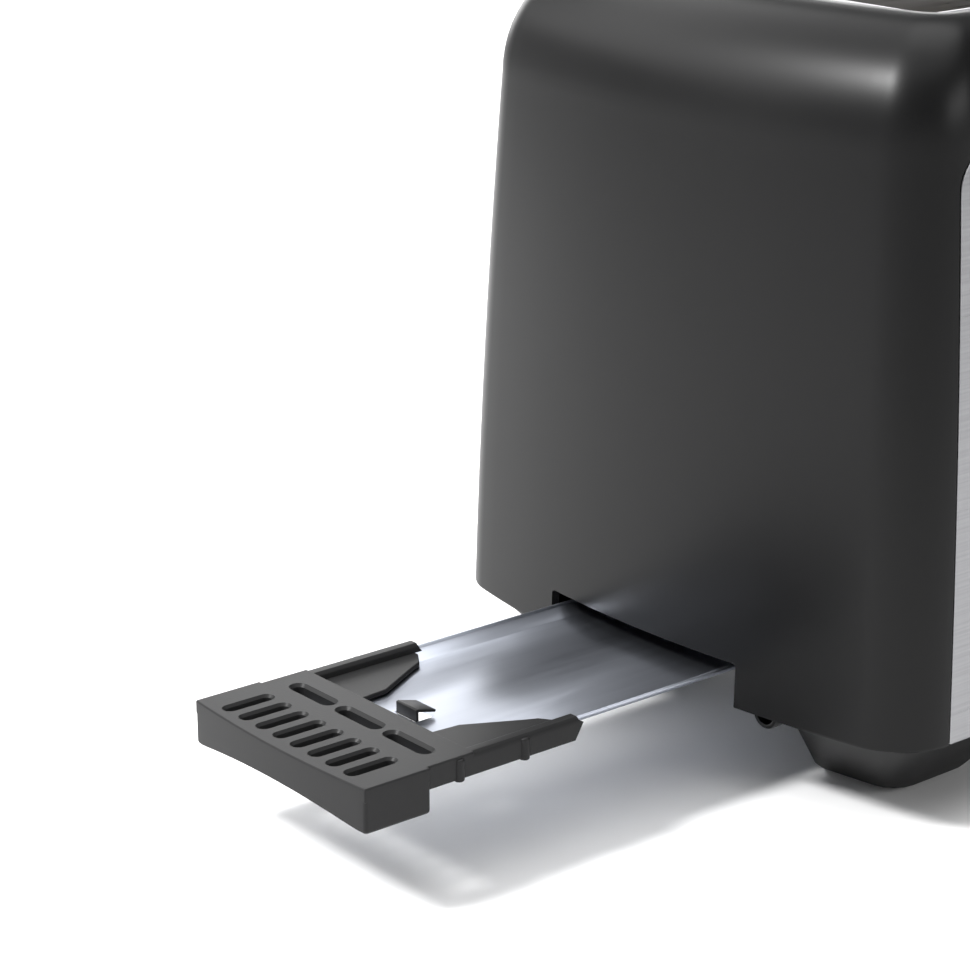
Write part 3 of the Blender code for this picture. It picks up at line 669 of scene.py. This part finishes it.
SLOT_END_STEPS = 8
SLOT_FLARE = 1.0


def slot_outline(x, y, length, width, along, flare):
    """A slot with round ends in plan."""
    half = length / 2 - width / 2
    radius = width / 2 + flare
    points = []
    for centre, start in ((half, -90.0), (-half, 90.0)):
        for step in range(SLOT_END_STEPS + 1):
            turn = math.radians(start + 180.0 / SLOT_END_STEPS * step)
            points.append((centre + radius * math.cos(turn), radius * math.sin(turn)))
    if along == "X":
        return [(x + px, y + py) for px, py in points]
    return [(x - py, y + px) for px, py in points]


def slot_tool(name, x, y, length, width, along, low, high):
    """A slot cutter whose mouth is chamfered at the top face."""
    rings = []
    for z, flare in ((low, 0.0), (high - 0.7, 0.0), (high + 0.3, SLOT_FLARE)):
        rings.append([at(px, py, z) for px, py in slot_outline(x, y, length, width, along, flare)])
    tool = loft(name, rings)
    activate(tool)
    open_mesh()
    bpy.ops.mesh.fill_holes(sides=0)
    close_mesh()
    return tool


TRAY_FRONT = -TRAY_OUT
HANDLE_HALF = 34.5
HANDLE_TOP = 32.5
HANDLE_LOW = 21.0
BLOCK_BACK = TRAY_FRONT + 21.0
BAR_BACK = TRAY_FRONT + 34.8
BAR_LOW = 28.9
ARM_END = TRAY_FRONT + 69.0
ARM_HALF = 33.6
WEB_TOP = 30.3
PAN_WALL = (30.0, 31.5)  # the pan's walls stand between these, either side
ARCH_RADIUS = 200.0

charcoal = moulded_plastic("charcoal_moulding", (0.016, 0.016, 0.0165),
                           (0.022, 0.022, 0.0225), 0.42, 0.25, 0.14)

bowed_front = []
for step in range(25):
    y = HANDLE_HALF * (1 - step / 12)
    bowed_front.append((TRAY_FRONT + END_BOW * y * y, y))
side_ends = [(BLOCK_BACK, -HANDLE_HALF), (BLOCK_BACK, HANDLE_HALF)]
handle = prism("tray_handle", bowed_front + side_ends, HANDLE_LOW, HANDLE_TOP - 1.5, 0.9)
bar_ends = [(BLOCK_BACK, -ARM_HALF), (BAR_BACK, -ARM_HALF), (BAR_BACK, ARM_HALF), (BLOCK_BACK, ARM_HALF)]
ledge = prism("grip_top", bowed_front + [side_ends[0]] + bar_ends + [side_ends[1]],
              BAR_LOW, HANDLE_TOP, 0.7)
arch_z = HANDLE_LOW - ARCH_RADIUS + 3.0
subtract(handle, [block("grip_hollow", (TRAY_FRONT + 4.6, -HANDLE_HALF + 2.2, 10.0),
                        (BLOCK_BACK - 2.0, HANDLE_HALF - 2.2, 28.0), 0.8),
                  rod("grip_arch", ARCH_RADIUS, (TRAY_FRONT - 5, 0, arch_z),
                      (BLOCK_BACK - 1.2, 0, arch_z), 720)])
arms = [ledge]
for side in (-1, 1):
    web = [(BAR_BACK - 2, side * 33.0), (ARM_END - 6.5, side * 33.0), (ARM_END - 2.6, side * 30.0),
           (ARM_END - 2.4, side * 28.4), (TRAY_FRONT + 63.0, side * 23.4), (TRAY_FRONT + 60.0, side * 22.0),
           (TRAY_FRONT + 45.5, side * 14.3), (BAR_BACK - 2, side * 13.2)]
    arms.append(prism("arm_web_%d" % (side + 1), web, 28.95, WEB_TOP, 0.5))
    section = [(-29.3, WEB_TOP - 0.6), (-29.5, HANDLE_TOP - 0.8), (-30.3, HANDLE_TOP - 0.04),
               (-32.6, HANDLE_TOP - 0.04), (-33.4, HANDLE_TOP - 0.6), (-ARM_HALF, HANDLE_TOP - 1.6),
               (-ARM_HALF, 26.6), (-31.8, 26.6)]
    rail = extrude_along_x("arm_rail_%d" % (side + 1), [(-side * y, z) for y, z in section],
                           BLOCK_BACK - 3, ARM_END, 0.25)
    # the free end is chamfered, more below than above
    for vert in rail.data.vertices:
        if vert.co.x > at(ARM_END - 1.0, 0, 0).x:
            if vert.co.z < 28.0 * MM:
                vert.co.x -= 2.4 * MM
            elif vert.co.z > 31.2 * MM:
                vert.co.x -= 1.4 * MM
    arms.append(rail)
    for x in (BLOCK_BACK + 9.5, TRAY_FRONT + 50.5):
        rib = rod("clip_rib_%d_%d" % (side + 1, int(-x)), 1.35, (x, side * 33.1, 26.1),
                  (x, side * 33.1, HANDLE_TOP - 0.7), 24)
        add_bevel(rib, 0.5, 3)
        apply_all(rib)
        arms.append(rib)
add_to(handle, arms)
GRIP_SLOT_PITCH = 7.08
BAR_SLOT_PITCH = 19.1
tools = [slot_tool("grip_slot_%d" % n, TRAY_FRONT + 10.9, GRIP_SLOT_PITCH * (n - 3.5),
                   13.6, 3.0, "X", 24.0, HANDLE_TOP) for n in range(8)]
tools += [slot_tool("bar_slot_%d" % n, TRAY_FRONT + 26.4, BAR_SLOT_PITCH * (n - 1),
                    15.8, 3.4, "Y", 24.0, HANDLE_TOP - 0.1) for n in range(3)]
for side in (-1, 1):
    sides = sorted((side * PAN_WALL[0], side * PAN_WALL[1]))
    tools.append(block("pan_way_%d" % (side + 1), (BLOCK_BACK + 0.7, sides[0], 20.0),
                       (ARM_END + 5, sides[1], 31.7)))
tools.append(block("pan_bed", (BLOCK_BACK + 0.7, -30.5, 20.0), (ARM_END + 5, 30.5, BAR_LOW)))
subtract(handle, tools)
finish_piece(handle, charcoal, "crumb_tray", 35.0, ("crumb_tray_handle",), True)

# ---------------------------------------------------------------------------
# Crumb tray pan: one bright steel pressing with folded walls and a turned-up back.
# A window in its floor lets the handle's catch stand up through it.
# ---------------------------------------------------------------------------
PAN_X = TRAY_FRONT + 22.0
PAN_END = PAN_X + 231.0

half_profile = [(26.6, 28.0), (27.4, 28.05), (30.6, 30.2), (31.0, 30.9), (30.9, 31.5),
                (30.3, 31.5), (30.2, 30.8), (27.2, 28.75), (26.5, 28.6)]
profile = half_profile + [(-y, z) for y, z in reversed(half_profile)]
pan = extrude_along_x("tray_pan", profile, PAN_X, PAN_END, 0.12)
add_to(pan, [block("pan_back", (PAN_END - 0.9, -30.6, 28.2), (PAN_END - 0.05, 30.6, 31.2), 0.2)])
CATCH_X = TRAY_FRONT + 41.0
subtract(pan, [block("catch_window", (CATCH_X - 0.4, -3.6, 20.0), (CATCH_X + 5.6, 5.0, 35.0))])
catch_section = [(CATCH_X, 28.3), (CATCH_X + 0.9, 28.3), (CATCH_X + 0.9, 30.7), (CATCH_X + 6.0, 29.5),
                 (CATCH_X + 6.3, 30.1), (CATCH_X + 0.6, 31.6), (CATCH_X, 31.4)]
catch = extrude_along_y("handle_catch", catch_section, -3.3, 4.7, 0.15)
finish_piece(catch, charcoal, "crumb_tray", 30.0)
tray_steel = shade("tray_steel", (0.5, 0.53, 0.6), 0.3, 1.0)
rolling = texture_nodes(tray_steel, 60.0, 4.0, (0.5, 9.0, 9.0))
spread(tray_steel, rolling, "Roughness", 0.28, 0.32)
tint(tray_steel, rolling, (0.48, 0.51, 0.58), (0.52, 0.55, 0.62))
finish_piece(pan, tray_steel, "crumb_tray", 28.0, ("crumb_tray_pan",))

# ---------------------------------------------------------------------------
# Heaters: four mica cards wound with flat nichrome ribbon, seen down the bread
# slots. The ribbons lie on both faces of a card.
# ---------------------------------------------------------------------------
RIBBON_ROWS = 12
RIBBON_FIRST = 66.0
RIBBON_PITCH = 9.2
RIBBON_WIDE = 1.4
RIBBON_INSET = 5.0
RIBBON_HALF = 0.12
RIBBON_STANDS = 0.65  # from the middle of the card
nichrome = shade("nichrome_ribbon", (0.32, 0.3, 0.28), 0.4, 1.0)
scale_marks = texture_nodes(nichrome, 220.0, 3.0)
spread(nichrome, scale_marks, "Roughness", 0.3, 0.55)
tint(nichrome, scale_marks, (0.22, 0.2, 0.19), (0.38, 0.36, 0.34))
for side_name in ("front", "back"):
    for place in ("inner", "outer"):
        node = "heater_card_%s_%s" % (side_name, place)
        broken_edges(node, "mica_card_%s_%s" % (side_name, place), mica, "housing", 0.15, 1)
        low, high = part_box(node)
        middle_y = (low.y + high.y) / 2 / MM
        x0 = (low.x - tray_end_x) / MM
        x1 = (high.x - tray_end_x) / MM
        ribbons = []
        for row in range(RIBBON_ROWS):
            z = RIBBON_FIRST + RIBBON_PITCH * row
            for facing in (-1, 1):
                y = middle_y + facing * RIBBON_STANDS
                ribbons.append(block("ribbon", (x0 + RIBBON_INSET, y - RIBBON_HALF, z),
                                     (x1 - RIBBON_INSET, y + RIBBON_HALF, z + RIBBON_WIDE), 0.1, 1))
        deselect()
        for ribbon in ribbons:
            ribbon.select_set(True)
        bpy.context.view_layer.objects.active = ribbons[0]
        bpy.ops.object.join()
        winding = bpy.context.active_object
        winding.name = "ribbon_winding_%s_%s" % (side_name, place)
        finish_piece(winding, nichrome, "housing", 30.0)

# ---------------------------------------------------------------------------
# Controls: black moulded lever knob with grip ribs, a fluted browning knob with
# its pointer and scale dots, and three buttons in thin collars.
# ---------------------------------------------------------------------------
knob_plastic = moulded_plastic("knob_moulding", (0.012, 0.012, 0.0125),
                               (0.017, 0.017, 0.0175), 0.33, 0.08, 0.35)
white_mark = shade("pad_printed_white", (0.75, 0.75, 0.74), 0.55)
relief(white_mark, texture_nodes(white_mark, 900.0, 2.0), 0.1, 0.00003)

lever = block("lever_grip", (273.6, -19, 143.0), (290.0, 19, 157.0), 3.4, 6)
subtract(lever, [rod("grip_dish", 60.0, (283.0, -25, 213.5), (283.0, 25, 213.5), 96)]
         + [block("grip_groove_%d" % n, (276.5 + 3.0 * n, -14, 141.0), (277.5 + 3.0 * n, 14, 143.7), 0.3, 2)
            for n in range(4)]
         + [block("lever_pocket", (272.0, -1.8, 146.7), (278.4, 1.8, 153.3))])
finish_piece(lever, knob_plastic, "carriage", 30.0, ("lever_knob",))


def turned_x(name, profile, y, z, steps):
    """A (x, radius) profile spun about an axis along X."""
    points = [at(x, y, z + radius) for x, radius in profile]
    obj = drawn(name, points, [(i, i + 1) for i in range(len(points) - 1)])
    open_mesh()
    bpy.ops.mesh.spin(steps=steps, angle=2 * math.pi, center=at(0, y, z), axis=(1.0, 0.0, 0.0))
    bpy.ops.mesh.select_all(action="SELECT")
    bpy.ops.mesh.remove_doubles(threshold=0.000005)
    close_mesh()
    return obj


dial_profile = [(286.4, 0.0), (286.4, 11.0), (285.9, 12.4), (284.6, 13.4), (276.0, 14.6),
                (275.4, 15.0), (272.9, 15.0), (272.9, 3.5), (279.4, 3.4), (279.4, 0.0)]
dial = turned_x("browning_dial", dial_profile, 0, KNOB_Z, 96)
FLUTES = 24
FLUTE_RADIUS = 14.9
FLUTE_TAPER = 0.9
dial_tools = []
for step in range(FLUTES):
    turn = 2 * math.pi * step / FLUTES
    y = FLUTE_RADIUS * math.cos(turn)
    z = FLUTE_RADIUS * math.sin(turn)
    dial_tools.append(rod("flute_%d" % step, 0.75, (276.2, y, KNOB_Z + z),
                          (289.0, y * FLUTE_TAPER, KNOB_Z + z * FLUTE_TAPER), 16))
dial_tools.append(block("pointer_groove", (285.9, -0.7, KNOB_Z + 3.0), (288.0, 0.7, KNOB_Z + 11.4), 0.3, 2))
subtract(dial, dial_tools)
finish_piece(dial, knob_plastic, "browning_knob", 35.0, ("browning_knob",))
pointer = block("dial_pointer", (285.2, -0.55, KNOB_Z + 3.2), (286.2, 0.55, KNOB_Z + 11.0), 0.2, 2)
finish_piece(pointer, white_mark, "browning_knob", 35.0)

cap_profile = [(274.1, 0.0), (274.2, 1.8), (274.6, 3.0), (274.5, 3.5), (273.9, 4.0), (265.6, 4.0),
               (265.6, 5.4), (264.0, 5.4), (264.0, 2.0), (256.0, 2.0), (256.0, 0.0)]
for name, y in BUTTON_Y.items():
    cap = turned_x("push_" + name, cap_profile, y, BUTTON_Z, 48)
    finish_piece(cap, knob_plastic, "button_" + name, 35.0, ("button_" + name,))


def bezel_x(y, z):
    """Outer face of the control plate at one place on it."""
    return 2 * HALF_LENGTH - lean(z) - END_BOW * y * y + BEZEL_PROUD


DOTS = 7
DOT_SWEEP = 135.0
for step in range(DOTS):
    turn = math.radians(-DOT_SWEEP + 2 * DOT_SWEEP / (DOTS - 1) * step)
    y = 19.2 * math.sin(turn)
    z = KNOB_Z + 17.6 * math.cos(turn)
    size = 0.45 + 0.09 * step
    face = bezel_x(y, z)
    dot = rod("scale_dot_%d" % (step + 1), size, (face - 0.3, y, z), (face + 0.12, y, z), 24)
    add_bevel(dot, 0.05, 2)
    finish_piece(dot, white_mark, "housing", 35.0)
for name, y in BUTTON_Y.items():
    face = bezel_x(y, BUTTON_Z)
    ring = [(face + 0.5, 4.5), (face + 0.5, 5.0), (face + 0.2, 5.4), (face - 0.3, 5.4),
            (face - 0.3, 4.35), (face + 0.4, 4.35), (face + 0.5, 4.5)]
    collar = turned_x("collar_" + name, ring, y, BUTTON_Z, 48)
    finish_piece(collar, knob_plastic, "housing", 35.0)


# ---------------------------------------------------------------------------
# Working parts seen through the openings: the bread racks and lever arm of
# bent strip, the base moulding, rubber gland, guide rod, lift spring and the
# wire guides that close on the bread.
# ---------------------------------------------------------------------------
for node, look, body, slot, width in (
        ("bread_rack_front", galvanised, "carriage", "galvanised_steel", 0.25),
        ("bread_rack_back", galvanised, "carriage", "galvanised_steel", 0.25),
        ("lever_arm", galvanised, "carriage", "galvanised_steel", 0.25),
        ("base_plate", black_plastic, "housing", "moulded_black", 0.3),
        ("cord_gland", soft_rubber, "housing", "rubber", 0.2),
        ("guide_rod", bright_steel, "housing", "bright_steel", 0.2)):
    broken_edges(node, node + "_finished", look, body, width, 2, 50.0)
spring = broken_edges("lift_spring", "lift_spring_coil", bright_steel, None, 0.0)
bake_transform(spring)
for side_name in ("front", "back"):
    for place in ("inner", "outer"):
        which = "%s_%s" % (side_name, place)
        broken_edges("bread_guide_" + which, "guide_wires_" + which, bright_steel,
                     "guide_" + which, 0.0)

# ---------------------------------------------------------------------------
# Finishes of the nodes that keep their own shape: chassis, shields, magnet,
# circuit board, switches and screws, by the material slot of each.
# ---------------------------------------------------------------------------
finishes = {"moulded_black": black_plastic, "bright_steel": bright_steel, "galvanised_steel": galvanised,
            "mica": mica, "rubber": soft_rubber, "copper": copper, "circuit_board": phenolic,
            "brushed_steel": panel_steel, "moulded_charcoal": charcoal}
for row in frame["record"]["subparts"]:
    node = frame["nodes"][row["node"]]
    node.data.materials.clear()
    node.data.materials.append(finishes[row["material_slot"]])

low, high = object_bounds()
